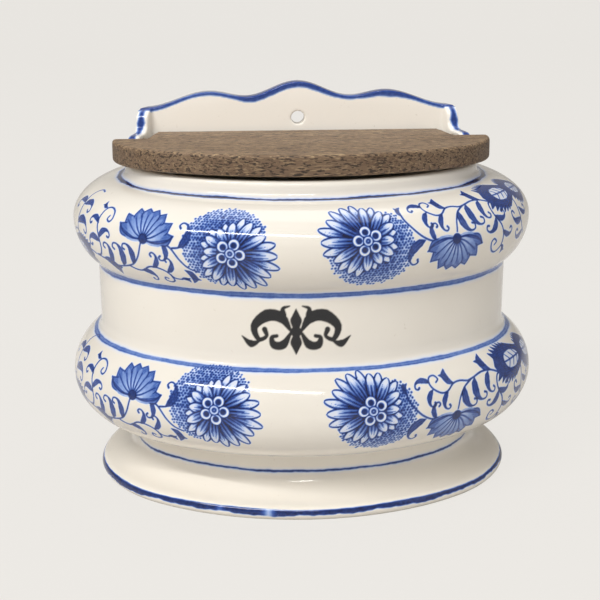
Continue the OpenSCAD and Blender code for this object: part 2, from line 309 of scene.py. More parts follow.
# Petal: powers of its swelling and of its tip, the factor that fills its width, its outline,
# its pale tone, where its blue fades, and how much paler its sides are
PETAL_SWELL, PETAL_TIP, PETAL_FILL, PETAL_LEAST = 0.85, 0.5, 1.62, 0.2
PETAL_LINE, PETAL_LINE_EDGE, PETAL_PALE = 0.46, 0.15, 0.07
BASE_FULL, BASE_FADE, BASE_SIDE = 1.85, 2.35, 0.3
# Hatching: its start and end along the petal, its ragged end, its tone and its strokes
HATCH_FROM, HATCH_TO, HATCH_RAGGED, HATCH_TONE = 0.22, 0.86, 0.22, 0.42
HATCH_RATE, HATCH_LEVEL, RAGGED_RATE = 9.5, 0.05, 7


def petal(c, x, y, angle, length, width, dark):
    """A pointed petal from (x, y): blue and hatched near its base, pale toward its tip."""
    where, s, h = c.window(x - length - 1, x + length + 1, y - length - 1, y + length + 1)
    ca, sa = math.cos(angle), math.sin(angle)
    u = ((s - x) * ca + (h - y) * sa) / length
    v = -(s - x) * sa + (h - y) * ca
    uc = np.clip(u, 0, 1)
    shape = uc ** PETAL_SWELL * (1 - uc) ** PETAL_TIP * PETAL_FILL
    d = np.where((u < 0) | (u > 1), 1.0, np.abs(v) - width / 2 * shape)
    base = np.clip(BASE_FULL - uc * BASE_FADE, 0, 1) * (dark - PETAL_PALE)
    across = v / (width / 2 * np.maximum(shape, PETAL_LEAST))
    reach = HATCH_TO - HATCH_RAGGED * np.abs(np.sin(across * RAGGED_RATE + angle * 3))
    hatch = np.sin(across * HATCH_RATE + angle * 5) > HATCH_LEVEL
    hatch = hatch * (uc < reach) * (uc > HATCH_FROM)
    fill = PETAL_PALE + base * (1 - BASE_SIDE * np.abs(across)) + HATCH_TONE * hatch
    tone = fill + (1.0 - fill) * soft(-d - PETAL_LINE, PETAL_LINE_EDGE)
    c.lay(where, soft(d), np.clip(tone, 0, 1))


# Daisy: petals in each row, longest petal, how lopsided and how uneven it is
DAISY_PETALS = 12
DAISY_LONG, DAISY_SIDED, DAISY_UNEVEN, UNEVEN_RATE = 11.7, 3, 0.7, 2.4
# Its petals: width and depth of blue, and what the back row has more or less of
PETAL_W, PETAL_DARK = 5.6, 0.72
BACK_LONGER, BACK_NARROWER, BACK_DARKER = 0.9, 0.5, 0.12
# Its eye, as spots with radius, tone, and for some the tone and the width of a ring
EYE, RING, RING_HOLE = (4.3, 0.93), (2, 0.06, 1, 0.30), (1.02, 0.92)
EYE_MIDDLE = ((1.72, 0.12, 1, 0.30), (0.80, 0.92), (0.28, 0.30))
RINGS, RING_TURN, RING_AT, HOLE_IN = 5, 0.45, 3.15, 0.25


def daisy(c, x, y, heading):
    """A double daisy seen a little from one side, its longest petals toward the heading."""
    for row in (1, 0):
        for i in range(DAISY_PETALS):
            a = heading + math.tau * (i + 0.5 * row) / DAISY_PETALS
            length = DAISY_LONG + DAISY_SIDED * math.cos(a - heading) + BACK_LONGER * row
            length += DAISY_UNEVEN * math.sin(i * UNEVEN_RATE + row)
            petal(c, x, y, a, length, PETAL_W - BACK_NARROWER * row,
                  PETAL_DARK + BACK_DARKER * row)
    disc(c, x, y, *EYE)
    for i in range(RINGS):
        a = heading + RING_TURN + math.tau * i / RINGS
        px, py = x + RING_AT * math.cos(a), y + RING_AT * math.sin(a)
        disc(c, px, py, *RING)
        disc(c, px - HOLE_IN * math.cos(a), py - HOLE_IN * math.sin(a), *RING_HOLE)
    for spot in EYE_MIDDLE:
        disc(c, x, y, *spot)


# Stipple: pitch, rows, stray, sizes and tones of its dots, its open side, and the pale wash
DOT_PITCH, DOT_ROW, DOT_STRAY = 1.02, 0.88, 0.17
DOT_SIZE, DOT_SHRINK, DOT_UNEVEN, DOT_PALER = 0.50, 0.17, 0.04, 0.16
DOT_OPEN = 0.42
WASH_TONE, WASH_FADE, WASH_OPEN = 0.42, 1.45, 2.2


def stipple(c, x, y, radius, flat_side, seed):
    """A half moon of small dots on a pale wash, open on its flat side."""
    rng = np.random.default_rng(seed)
    where, s, h = c.window(x - radius, x + radius, y - radius, y + radius)
    q = np.hypot(s - x, h - y) / radius
    side = (s - x) * math.cos(flat_side) + (h - y) * math.sin(flat_side)
    wash = WASH_TONE * np.clip(WASH_FADE - q * WASH_FADE, 0, 1)
    wash = wash * np.clip(1 - side / radius * WASH_OPEN, 0, 1)
    c.lay(where, np.ones(s.shape), np.maximum(c.tone[where], wash))
    n = int(radius / DOT_PITCH) + 2
    for i in range(-n, n + 1):
        for j in range(-n, n + 1):
            px = x + DOT_PITCH * (i + 0.5 * (j % 2)) + rng.uniform(-DOT_STRAY, DOT_STRAY)
            py = y + DOT_PITCH * DOT_ROW * j + rng.uniform(-DOT_STRAY, DOT_STRAY)
            q = math.hypot(px - x, py - y) / radius
            side = (px - x) * math.cos(flat_side) + (py - y) * math.sin(flat_side)
            if q < 1 + rng.uniform(-0.05, 0.02) and side < DOT_OPEN * radius:
                size = DOT_SIZE - DOT_SHRINK * q + rng.uniform(-DOT_UNEVEN, DOT_UNEVEN)
                disc(c, px, py, size, 1.0 - DOT_PALER * q)


# Curled leaf, for a size of 1: points forward and to the left, and its width. Widths of its
# hook, and tones of its fill, outline and veins.
COMMA = ((0, 0), (0.25, -0.10), (0.55, -0.12), (0.84, -0.02), (1, 0.18), (0.98, 0.40),
         (0.80, 0.46), (0.72, 0.34))
COMMA_W, COMMA_HOOK = 0.35, (0.48, 0.42, 0.50, 0.66)
COMMA_PAINT = dict(fill=0.68, line=0.98, ribs=0.14)


def turned(x, y, heading, forward, left):
    """The place that lies so far forward and to the left of (x, y)."""
    ca, sa = math.cos(heading), math.sin(heading)
    return x + forward * ca - left * sa, y + forward * sa + left * ca


def comma(c, x, y, heading, size, curl=1):
    """A curled leaf: it swells from its root at (x, y) and ends in a hook to one side.

    curl is 1 for a hook to the left of the heading and -1 for one to the right.
    """
    points = [turned(x, y, heading, size * forward, size * left * curl) for forward, left in COMMA]
    w = size * COMMA_W
    blade(c, points, (0.25, w * 0.85, w, w * 0.55, *COMMA_HOOK), **COMMA_PAINT)


# Paint of a short leaf and of its second tip
BUD_PAINT, BUD_TIP = dict(fill=0.68, line=0.93, ribs=0.12), dict(fill=0.80, line=0.93)


def bud_leaf(c, x, y, heading, size):
    """A short leaf with a forked tip."""
    def at(forward, left):
        return turned(x, y, heading, size * forward, size * left)

    blade(c, [at(0, 0), at(0.35, 0.16), at(0.75, 0.10), at(1.0, -0.24)],
          (0.3, size * 0.36, size * 0.42, 0.25), **BUD_PAINT)
    blade(c, [at(0.55, 0.1), at(0.85, 0.22), at(1.02, 0.36)], (size * 0.3, size * 0.2, 0.2),
          **BUD_TIP)


# Fan flower: angle and reach of its outer petals, angles of its bowl's petals and of its
# veins, and the angle past which petals are shorter and veins longer
FAN_OUTER = ((-74, 11.8), (-52, 12.2), (54, 12.2), (74, 11.6),
             (-28, 11.9), (30, 12), (-9, 11.6), (11, 11.5))
FAN_BOWL = (-88, -70, -52, -35, -18, 0, 18, 35, 52, 70, 88)
FAN_VEINS = (-84, -62, -42, -25, -8, 8, 25, 42, 62, 84)
FAN_SIDE = 60
OUTER_PAINT = dict(fill=0.50, line=0.95, edge=0.34, ribs=0.12)
BOWL_PAINT = dict(fill=0.03, line=0.42, edge=0.22, fade=0.40)
FAN_VEIN, FAN_RIM, CUP_R, CUP_TONE = (0.44, 0.28, 0.95), (0.55, 0.5, 0.90), 1.75, 0.88


def fan_flower(c, x, y, heading, sign, size):
    """A half-open flower: blue pointed petals behind a pale veined bowl, on a round cup."""
    def at(angle, reach):
        a = heading + sign * math.radians(angle)
        return x + size * reach * math.cos(a), y + size * reach * math.sin(a)

    for angle, reach in FAN_OUTER:
        blade(c, [at(angle, 0), at(angle * 1.12, 5), at(angle * 1.06, 8.6), at(angle, reach)],
              (0.8, 3.0 * size, 4.6 * size, 0.3), **OUTER_PAINT)
    for angle in FAN_BOWL:
        reach = 9.4 if abs(angle) < FAN_SIDE else 8.6
        bend = angle * 1.10
        blade(c, [at(bend, 0), at(bend, 3.2), at(angle, 6), at(angle * 0.94, reach)],
              (0.6, 1.9 * size, 2.9 * size, 0.9), **BOWL_PAINT)
    for angle in FAN_VEINS:
        reach = 8.4 if abs(angle) < FAN_SIDE else 9.8
        stroke(c, [at(angle * 1.14, 1), at(angle * 1.08, 4.2), at(angle * 0.95, reach)], *FAN_VEIN)
    for bend in (-1, 1):
        stroke(c, [at(bend * 96, 1), at(bend * 94, 5), at(bend * 84, 9), at(bend * 74, 11.8)],
               *FAN_RIM)
    disc(c, *at(0, 0.2), CUP_R * size, CUP_TONE, 1.0)


# Full flower: teeth on each side and their size, where its pale heart starts and ends, pairs
# of veins, and the paint of its teeth, body and heart. Lines have two widths and a tone.
TEETH, TOOTH_OUT, TOOTH_W = 9, 1.1, (4.2, 0.4)
HEART_FROM, HEART_TO, HEART_VEINS = 0.30, 0.92, 3
TOOTH_PAINT = dict(fill=0.74, line=0.97, edge=0.4, ribs=0.12)
FULL_PAINT, HEART_PAINT = dict(fill=0.78, line=0.86, ribs=0.12), dict(fill=0.06, line=0.96)
HEART_RIB, HEART_VEIN = (0.4, 0.5, 0.92), (0.38, 0.28, 0.88)


def full_flower(c, x, y, heading, length, width):
    """A large dark flower with a toothed edge and a pale heart veined like a leaf."""
    def at(forward, left):
        return turned(x, y, heading, forward, left)

    for i in range(TEETH):
        u = 0.08 + 0.10 * i
        wide = width / 2 * math.sin(math.pi * min(1, u * 0.92 + 0.10)) ** 0.7
        for left in (-1, 1):
            tip = at(length * (u - 0.10), left * (wide + TOOTH_OUT))
            blade(c, [at(length * (u + 0.12), left * wide * 0.3), tip], TOOTH_W, **TOOTH_PAINT)
    blade(c, [at(0, 0), at(length * 0.5, 0), at(length, 0)],
          (1.0, width * 0.84, width * 0.88, width * 0.5, 0.8), **FULL_PAINT)
    heart, end = length * HEART_FROM, length * HEART_TO
    blade(c, [at(heart, 0), at((heart + end) / 2, 0), at(end, 0)],
          (0.5, width * 0.52, width * 0.56, width * 0.40, 0.5), **HEART_PAINT)
    stroke(c, [at(heart, 0), at(end, 0)], *HEART_RIB)
    for i in range(HEART_VEINS):
        root = heart + (end - heart) * (0.86 - 0.26 * i)
        for left in (-1, 1):
            stroke(c, [at(root, 0), at(root - 2.2, left * width * 0.19)], *HEART_VEIN)


# Sprays left and right of the daisies, in the upper band's places. Stems have two widths and
# a tone. The rest have a place, a heading in degrees, and: curled leaves a size and a curl,
# short leaves a size, fans a turn and a size, full flowers a length and a width.
STEM = (0.55, 0.46, 0.93)
LEFT_STEMS = (
    ((-80, 110.3), (-75, 109.2), (-70, 107.9), (-65, 108.6), (-61, 110.2), (-58.2, 113.5),
     (-56.6, 118)),
    ((-63.5, 109), (-60.5, 107.9), (-57.8, 108), (-55, 109.8), (-52, 110), (-48.6, 108.8),
     (-46.2, 106.2), (-43.6, 105.9)),
    ((-80, 110.2), (-77.4, 110.8), (-75.8, 113.5), (-76.2, 117), (-77.3, 120.5), (-77.3, 124),
     (-76, 127), (-73.6, 127.8), (-71.2, 126.6), (-70.5, 124.2), (-71.6, 122.8), (-73, 123.5),
     (-72.4, 124.8)),
    ((-52, 118.4), (-48, 118.4), (-45.5, 117.4), (-42.5, 113.6), (-40, 111.2), (-37, 110)),
    ((-45, 117.5), (-43, 117.8), (-41.4, 118.4)),
    ((-47.3, 107.6), (-46.8, 105), (-48.4, 103.8), (-50.2, 104.6), (-50, 106), (-48.9, 105.6)),
    ((-93.5, 116), (-93.2, 120), (-93.8, 125), (-94.3, 130), (-92, 133), (-88.5, 132.6)),
    ((-81, 110.2), (-86, 112), (-91, 115), (-96, 116.5), (-104, 113)),
    ((-104, 113), (-112, 107), (-120, 108), (-128, 114), (-136, 112)),
)
LEFT_COMMAS = (
    (-61.3, 110.3, 92, 6.6), (-66.4, 108.6, 84, 7.6), (-72.3, 108.8, 78, 6.6),
    (-53.3, 109.8, 62, 5.2), (-48.2, 108.5, 58, 5.2), (-42.8, 117.9, 62, 7.6),
    (-77, 121.6, 160, 5.4), (-76, 117, 38, 5.6, -1), (-76.2, 115.6, 172, 6.4),
    (-58.2, 108, -20, 5.6, -1), (-48.6, 118.6, -78, 5.4, -1), (-93.3, 125.4, 12, 7, -1),
    (-93.2, 119.2, 8, 8, -1), (-94, 126, 178, 6.4), (-112, 107.5, 70, 7),
    (-122, 109, 100, 7.5, -1), (-130, 113, -70, 7), (-106, 111, 95, 7),
)
LEFT_BUDS = ((-41.4, 110.2, -58, 5.6), (-43.8, 106, -4, 3.2), (-76.3, 127.3, 150, 3.2),
             (-76.4, 109.6, -34, 8.2))
LEFT_FULL = ((-84, 109.6, 176, 17, 9),)
LEFT_FAN = (-55.8, 119.2, 84, 1, 0.95)
LEFT_SPRAY = (LEFT_STEMS, LEFT_COMMAS, LEFT_BUDS, LEFT_FULL, LEFT_FAN)
RIGHT_STEMS = (
    ((29.3, 129.4), (30.2, 126.2), (33.6, 122), (37, 119.7), (40, 119), (44, 119.3), (47, 119.2)),
    ((72, 130), (68.5, 129), (64.5, 130.6), (60, 131), (56, 130), (53, 129.4), (50, 130),
     (47, 129.6), (44.5, 127.6), (42, 127.3), (39.2, 129), (38, 131.2), (38.6, 133),
     (40.4, 133.4), (41.6, 132), (40.6, 131)),
    ((54.5, 129.6), (51.2, 127.6), (49, 124.6), (48, 121)),
    ((69.5, 129), (67, 128.4), (66, 126), (66.6, 123.2), (68.5, 120.5), (69.5, 117), (69, 113.4),
     (66.4, 111.4), (64, 112.4), (63.2, 115), (64.4, 116.3), (65.8, 115.2), (64.9, 114.2)),
    ((84, 127), (82.8, 122), (83.4, 118), (86, 114.5)),
    ((100, 130), (108, 124), (116, 120), (126, 122), (136, 128)),
)
RIGHT_COMMAS = (
    (35.9, 119.6, -138, 8.2), (39.8, 119.3, 104, 5, -1), (38.2, 131.2, 170, 5.2),
    (38.9, 128.8, -112, 5.2), (44.4, 127.2, -112, 5.2), (51.2, 127.8, -78, 7.6),
    (56.2, 129.8, -84, 8), (63, 130.4, -104, 6.6), (66.4, 123.8, -14, 5.6),
    (66.3, 123, -128, 6, -1), (69.4, 118.4, -24, 5.2), (83, 120.2, 178, 6.4, -1),
    (84, 123.6, -30, 5.6), (84.6, 116, -160, 6, -1), (108, 124, 70, 7, -1),
    (118, 120.4, -80, 7), (128, 123, 80, 7, -1),
)
RIGHT_BUDS = ((29.6, 128.4, 96, 3.6), (47.2, 129.6, 126, 5.6), (64.6, 130.7, 126, 6.8),
              (69, 113.4, -60, 3.2))
RIGHT_FULL = ((67.5, 131, 0, 20, 12), (87.5, 131, math.degrees(-0.12), 14, 11))
RIGHT_FAN = (47.7, 119, -90, -1, 0.96)
RIGHT_SPRAY = (RIGHT_STEMS, RIGHT_COMMAS, RIGHT_BUDS, RIGHT_FULL, RIGHT_FAN)

# Offsets of the lower band's sprays from the upper band's
LOW_LEFT_BY, LOW_RIGHT_BY = (-5, -58.1), (0.3, -64.3)


def spray(c, parts, ds, dh):
    """Vine with curled and short leaves, a fan flower and full flowers."""
    stems, commas, buds, full, fan = parts
    for points in stems:
        stroke(c, [(s + ds, h + dh) for s, h in points], *STEM)
    for s, h, heading, *size_curl in commas:
        comma(c, s + ds, h + dh, math.radians(heading), *size_curl)
    for s, h, heading, size in buds:
        bud_leaf(c, s + ds, h + dh, math.radians(heading), size)
    s, h, heading, sign, size = fan
    fan_flower(c, s + ds, h + dh, math.radians(heading), sign, size)
    for s, h, heading, length, width in full:
        full_flower(c, s + ds, h + dh, math.radians(heading), length, width)


# Daisies of a band: centre and heading, and for the stipple its offset, radius, open side
# and seed
UPPER_DAISIES = (
    ((-25.8, 117.1), -32, (-1.6, 1.8), 14.4, -42, 3),
    ((16.8, 120.8), 150, (1.4, -2), 14.2, 125, 4),
)
LOWER_DAISIES = (
    ((-31.2, 60.6), -32, (-1.6, 1.6), 14.2, -42, 5),
    ((18.4, 60.2), 150, (1.4, -1.6), 13.6, 125, 6),
)


def paint_bulge(c, left_by, right_by, daisies):
    """The flower band of one bulge: two sprays, the stipples, then the daisies over them."""
    spray(c, LEFT_SPRAY, *left_by)
    spray(c, RIGHT_SPRAY, *right_by)
    for (x, y), _, (dx, dy), radius, flat_side, seed in daisies:
        stipple(c, x + dx, y + dy, radius, math.radians(flat_side), seed)
    for (x, y), heading, *_ in daisies:
        daisy(c, x, y, math.radians(heading))


# Ornament in the middle of the waist: its centre, the strokes of its right half, the points
# of its lozenge and the round spot in it
ORNAMENT = (-5.6, 88)
SCROLL = (
    (((1.6, 0), (5, 4.6), (10, 5.2), (14.4, 1.6), (13, -2.6), (10.2, -1.6), (10.8, 0.6)),
     (0.8, 3.6, 4.1, 2.7, 1.6, 1.2, 1.9)),
    (((1.6, 0), (4.4, -4.2), (7.6, -4.4), (8.4, -2), (6.6, -1.4)), (0.8, 2.9, 2.7, 1.4, 1.2)),
    (((12.2, -3), (15.6, -4.2), (18.8, -1.8)), (0.5, 2.5, 0.4)),
    (((4.4, 5.6), (4.4, 7.6), (2.2, 8.4)), (2.2, 1.3, 0.5)),
)
LOZENGE, LOZENGE_W, SPOT_R = (0.6, 3.6, 7.4), (1.6, 4, 0.4), 1.9


def paint_waist(c):
    """A plain symmetrical scroll with a lozenge in its middle."""
    x, y = ORNAMENT
    for f in (1, -1):
        for points, widths in SCROLL:
            blade(c, [(x + f * s, y + h) for s, h in points], widths, 1.0, 1.0)
    for f in (1, -1):
        blade(c, [(x, y + f * h) for h in LOZENGE], LOZENGE_W, 1.0, 1.0)
    disc(c, x, y, SPOT_R, 1.0)


# Waves that a hand's drift is made of, as their rates along the pot
DRIFT_RATES = (0.05, 0.11, 0.23, 0.47, 0.9)


def wobble(s, amount, seed):
    """A slow uneven drift along the pot, as of a hand on a wheel."""
    rng = np.random.default_rng(seed)
    total = np.zeros_like(s)
    for k in DRIFT_RATES:
        total += math.sqrt(DRIFT_RATES[0] / k) * np.sin(s * k * 2 + rng.uniform(0, math.tau))
    return amount * total / 2


# Lines: unevenness of their width and its seed, and the reach of their halo. A double line:
# its drift, the tones of its middle and halo, and its two edges
WIDTH_UNEVEN, WIDTH_SEED, HALO_REACH = 0.3, 50, 1.5
TWIN_DRIFT, TWIN_MIDDLE, TWIN_HALO = 0.15, 0.62, 0.07
TWIN_AT, TWIN_LOW_W, TWIN_TOP_W, TWIN_TOP_TONE = 0.36, 0.42, 0.34, 0.94


def band_line(s, h, at, width, seed, tone, drift, halo=0.0):
    """A painted line round the pot, a little uneven in height and width."""
    wide = width / 2 * (1 + wobble(s, WIDTH_UNEVEN, seed + WIDTH_SEED))
    d = np.abs(h - at - wobble(s, drift, seed)) - wide
    return np.maximum(tone * soft(d, BAND_EDGE), halo * np.clip(1 - d / HALO_REACH, 0, 1))


def twin_line(s, h, at, width, seed, tone):
    """A painted band whose two edges are darker than its middle."""
    up = width * TWIN_AT
    return np.maximum.reduce([
        band_line(s, h, at, width, seed, tone * TWIN_MIDDLE, TWIN_DRIFT, TWIN_HALO),
        band_line(s, h, at - up, TWIN_LOW_W, seed, tone, TWIN_DRIFT),
        band_line(s, h, at + up, TWIN_TOP_W, seed, tone * TWIN_TOP_TONE, TWIN_DRIFT),
    ])


def ink_foot(s, h):
    """Blue line on the foot's rim, thinner and broken here and there, and the stem's line."""
    at, width, *brush = FOOT_LINE
    thin = np.clip((s - THIN_FROM) / THIN_OVER, 0, 1)
    band = band_line(s, h, at + THIN_UP * thin, width * (1 - THIN_LESS * thin), *brush)
    gap = sum(np.exp(-((s - at) / reach) ** 2) * less for at, reach, less in FOOT_GAPS)
    return np.maximum(band * (1 - gap), band_line(s, h, *STEM_LINE))


def ink_lower(s, h):
    """Flowers of the lower bulge and the line above them."""
    return np.maximum(lower.sample(s, h), twin_line(s, h, *LOW_LINE))


def ink_waist(s, h):
    """The two lines that bound the waist."""
    return np.maximum(twin_line(s, h, *LOW_LINE), twin_line(s, h, *UP_LINE))


def ink_upper(s, h):
    """Flowers of the upper bulge, the line below them and the line at the neck."""
    return np.maximum.reduce([upper.sample(s, h), twin_line(s, h, *UP_LINE),
                              band_line(s, h, *NECK_LINE)])


def new_object(name, verts, faces):
    """A smooth-shaded mesh of quads."""
    mesh = bpy.data.meshes.new(name)
    mesh.vertices.add(len(verts))
    mesh.vertices.foreach_set("co", np.asarray(verts, float).ravel())
    mesh.loops.add(faces.size)
    mesh.loops.foreach_set("vertex_index", faces.ravel().astype(np.int32))
    mesh.polygons.add(len(faces))
    starts = np.arange(0, faces.size, faces.shape[1], dtype=np.int32)
    mesh.polygons.foreach_set("loop_start", starts)
    mesh.update(calc_edges=True)
    mesh.polygons.foreach_set("use_smooth", np.ones(len(faces), bool))
    mesh.validate()
    obj = bpy.data.objects.new(name, mesh)
    bpy.context.scene.collection.objects.link(obj)
    return obj


def set_attribute(obj, name, values):
    """Writes one number for each corner of a mesh."""
    layer = obj.data.attributes.new(name, "FLOAT", "POINT")
    layer.data.foreach_set("value", np.asarray(values, np.float32).ravel())


def columns(step):
    """Angles of the skin's columns, in even steps round the front half of the pot."""
    dense = np.linspace(-180, 0, PLAN_SAMPLES)
    length = plan_length(dense)
    n = int((length[-1] - length[0]) / step)
    return np.interp(np.linspace(length[0], length[-1], n), length, dense)


def skin(name, i0, i1, ink, jet=None):
    """One band of the painted skin between two rows of the section."""
    a, z, h = section[i0:i1 + 1, 0], section[i0:i1 + 1, 1], rows[i0:i1 + 1]
    tangent = np.gradient(section, axis=0)[i0:i1 + 1]
    tangent /= np.hypot(*tangent.T)[:, None]
    na, nz = tangent[:, 1], -tangent[:, 0]
    rear_n = int(WIDEST_Y / GRID_STEP)
    t = np.linspace(0, 1, rear_n + 1)[1:]
    rear = np.degrees(np.arcsin(np.clip(WIDEST_Y / a, 0, 1))[:, None] * t[None, :])
    middle = np.repeat(phi[None, :], len(a), 0)
    angles = np.hstack([-180 - rear[:, ::-1], middle, rear])
    cx, cy, off = plan_parts(angles)
    radius = a[:, None] - off + SKIN_LIFT * na[:, None]
    x = np.clip(cx + radius * np.cos(np.radians(angles)), -LOW_W, LOW_W)
    y = np.clip(cy + radius * np.sin(np.radians(angles)), -2 * HALF_DEPTH, 0.0)
    zz = np.maximum(np.repeat((z + SKIN_LIFT * nz)[:, None], angles.shape[1], 1), 0.0)
    verts = np.stack([x, y + HALF_DEPTH, zz], -1).reshape(-1, 3) * MM
    r, q = angles.shape
    idx = np.arange(r * q).reshape(r, q)
    corners = [idx[:-1, :-1], idx[:-1, 1:], idx[1:, 1:], idx[1:, :-1]]
    obj = new_object(name, verts, np.stack(corners, -1).reshape(-1, 4))
    s, hh = plan_length(angles), np.repeat(h[:, None], q, 1)
    set_attribute(obj, "ink", ink(s, hh))
    if jet is not None:
        set_attribute(obj, "jet", jet(s, hh))
    return obj


def softened(node, name, voxel, rounds, cut_z=None, keep_top=False):
    """A copy of a node's solid with worn or glazed edges, cut at a height where one is given."""
    obj = bpy.data.objects.new(name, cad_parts[node].data.copy())
    bpy.context.scene.collection.objects.link(obj)
    bm = bmesh.new()
    bm.from_mesh(obj.data)
    bmesh.ops.remove_doubles(bm, verts=bm.verts, dist=SAME_PLACE)
    if cut_z is not None:
        cut = bmesh.ops.bisect_plane(bm, geom=bm.verts[:] + bm.edges[:] + bm.faces[:],
                                     plane_co=(0, 0, cut_z * MM), plane_no=(0, 0, 1),
                                     clear_outer=not keep_top, clear_inner=keep_top)
        edges = [g for g in cut["geom_cut"] if isinstance(g, bmesh.types.BMEdge)]
        bmesh.ops.triangle_fill(bm, use_beauty=True, edges=edges)
    bm.to_mesh(obj.data)
    bm.free()
    remesh = obj.modifiers.new("even", "REMESH")
    remesh.mode = "VOXEL"
    remesh.voxel_size = voxel * MM
    smooth = obj.modifiers.new("soft", "SMOOTH")
    smooth.factor = SMOOTH_FACTOR
    smooth.iterations = rounds
    graph = bpy.context.evaluated_depsgraph_get()
    graph.update()
    mesh = bpy.data.meshes.new_from_object(obj.evaluated_get(graph))
    obj.modifiers.clear()
    obj.data = mesh
    mesh.polygons.foreach_set("use_smooth", np.ones(len(mesh.polygons), bool))
    return obj


def vertex_array(obj):
    """Corner places of a mesh in millimetres, with the wall at y = 0."""
    co = np.empty(len(obj.data.vertices) * 3)
    obj.data.vertices.foreach_get("co", co)
    return co.reshape(-1, 3) / MM - (0, HALF_DEPTH, 0)


def drop_covered(obj):
    """Removes the faces that lie under the painted skin."""
    x, y, z = vertex_array(obj).T
    order = np.argsort(section[:, 1], kind="stable")
    a_skin = np.interp(z, section[order, 1], section[order, 0])
    covered = np.abs(half_width(x, y) - a_skin) < COVER_NEAR
    covered &= (z > COVER_FROM_Z) & (z < SKIN_TOP_Z - COVER_BELOW_TOP) & (y < -COVER_WALL)
    bm = bmesh.new()
    bm.from_mesh(obj.data)
    gone = [f for f in bm.faces if all(covered[v.index] for v in f.verts)]
    bmesh.ops.delete(bm, geom=gone, context="FACES")
    bm.to_mesh(obj.data)
    bm.free()


def scallop_z(x):
    """Height of the backboard's upper edge."""
    ax = np.abs(x)
    knots = ((0, CREST_Z), (DIP_X, DIP_Z), (LOBE_X, LOBE_Z), (COLLAR_W - END_FLAT, END_Z))
    z = np.full(ax.shape, END_Z)
    for (x0, z0), (x1, z1) in zip(knots, knots[1:]):
        t = np.clip((ax - x0) / (x1 - x0), 0, 1)
        wave = z0 + (z1 - z0) * (1 - np.cos(math.pi * t)) / 2
        z = np.where((ax >= x0) & (ax < x1), wave, z)
    return z


# Points on each rounded part of a cheek's front edge
CHEEK_POINTS = 8


def cheek_profile():
    """Front edge of a cheek as distance from the wall and height, from the top down."""
    return np.vstack([
        oval(CHEEK_TOP_Y - CROWN_R, END_Z - CROWN_R, CROWN_R, CROWN_R, 90, 0, CHEEK_POINTS),
        oval(CHEEK_TOP_Y + HOLLOW_R, CHEEK_LOW_Z + HOLLOW_R, HOLLOW_R, HOLLOW_R, 180, 270,
             CHEEK_POINTS),
        oval(CHEEK_FRONT_Y - CORNER_R, CHEEK_LOW_Z - CORNER_R, CORNER_R, CORNER_R, 90, 0,
             CHEEK_POINTS),
    ])


# Blue line on the backboard's edge: widths from left to right, bounds, drop and tone
EDGE_X = (-56, -50, -40, -22, -17, -12, 0, 9, 15, 21, 26, 33, 40, 46, 54)
EDGE_WIDE = (1.7, 1, 0.8, 0.9, 2.4, 3.4, 2.3, 1.7, 1, 0.9, 1.7, 2.3, 1.5, 1, 1.2)
EDGE_FRONT, EDGE_REAR, EDGE_BACK, EDGE_BELOW = 6.4, 3.2, 0.6, 0.5
EDGE_TONE, EDGE_SOFT, EDGE_UNEVEN, EDGE_SEED, BRUSH_SHARE = 0.74, 0.35, 0.2, 31, 0.62

# Blue on the cheeks' front edges: bounds, blobs as height, half width and taper, and tone
CHEEK_X, CHEEK_Y, CHEEK_ABOVE_RIM, CHEEK_MIDDLE, CHEEK_DEEP = 46, 6.6, 0.8, 0.42, 1.5
CHEEK_BLOBS, CHEEK_LINE_W = ((119.5, 1.9, 0.35), (115.2, 2.2, 0.8)), 1.05
CHEEK_TONE, CHEEK_SOFT, CHEEK_DRIFT, CHEEK_SEED = 0.80, 0.4, 0.25, 32


def ink_upstand(co):
    """Blue on the backboard's upper edge and on the cheeks' front edges."""
    x, y, z = co.T
    wide = np.interp(x, EDGE_X, EDGE_WIDE) * (1 + wobble(x, EDGE_UNEVEN, EDGE_SEED))
    outside = np.maximum(-y - EDGE_FRONT, 0) + np.maximum(y + EDGE_REAR, 0)
    d = np.hypot(outside, scallop_z(x) - z - EDGE_BELOW) - wide * BRUSH_SHARE
    board = EDGE_TONE * soft(d, EDGE_SOFT) * (y < -EDGE_BACK)
    line = cheek_profile()
    dist = np.full(len(co), FAR)
    for (y0, z0), (y1, z1) in zip(line, line[1:]):
        t = np.clip(((-y - y0) * (y1 - y0) + (z - z0) * (z1 - z0))
                    / ((y1 - y0) ** 2 + (z1 - z0) ** 2), 0, 1)
        dist = np.minimum(dist, np.hypot(-y - y0 - t * (y1 - y0), z - z0 - t * (z1 - z0)))
    on_cheek = (np.abs(x) > CHEEK_X) & (y < -CHEEK_Y) & (z > RIM_Z + CHEEK_ABOVE_RIM)
    middle = COLLAR_W - COLLAR_WALL * CHEEK_MIDDLE
    blob = np.maximum.reduce([half - np.abs(z - at) * rate for at, half, rate in CHEEK_BLOBS]
                             + [np.full(len(co), CHEEK_LINE_W)])
    off = np.hypot(x, y + WIDEST_Y) - middle + wobble(z, CHEEK_DRIFT, CHEEK_SEED)
    side = np.abs(off) - blob * BRUSH_SHARE
    cheek = CHEEK_TONE * soft(np.maximum(dist - CHEEK_DEEP, side), CHEEK_SOFT) * on_cheek
    return np.maximum(board, cheek)


def put(tree, socket, value):
    """Links a socket or sets its value."""
    if isinstance(value, bpy.types.NodeSocket):
        tree.links.new(value, socket)
    else:
        socket.default_value = value


def add_node(tree, kind, inputs=None, **settings):
    """A new node with its settings, and its inputs linked or set by number or name."""
    node = tree.nodes.new("ShaderNode" + kind)
    for name, value in settings.items():
        setattr(node, name, value)
    for key, value in (inputs or {}).items():
        put(tree, node.inputs[key], value)
    return node


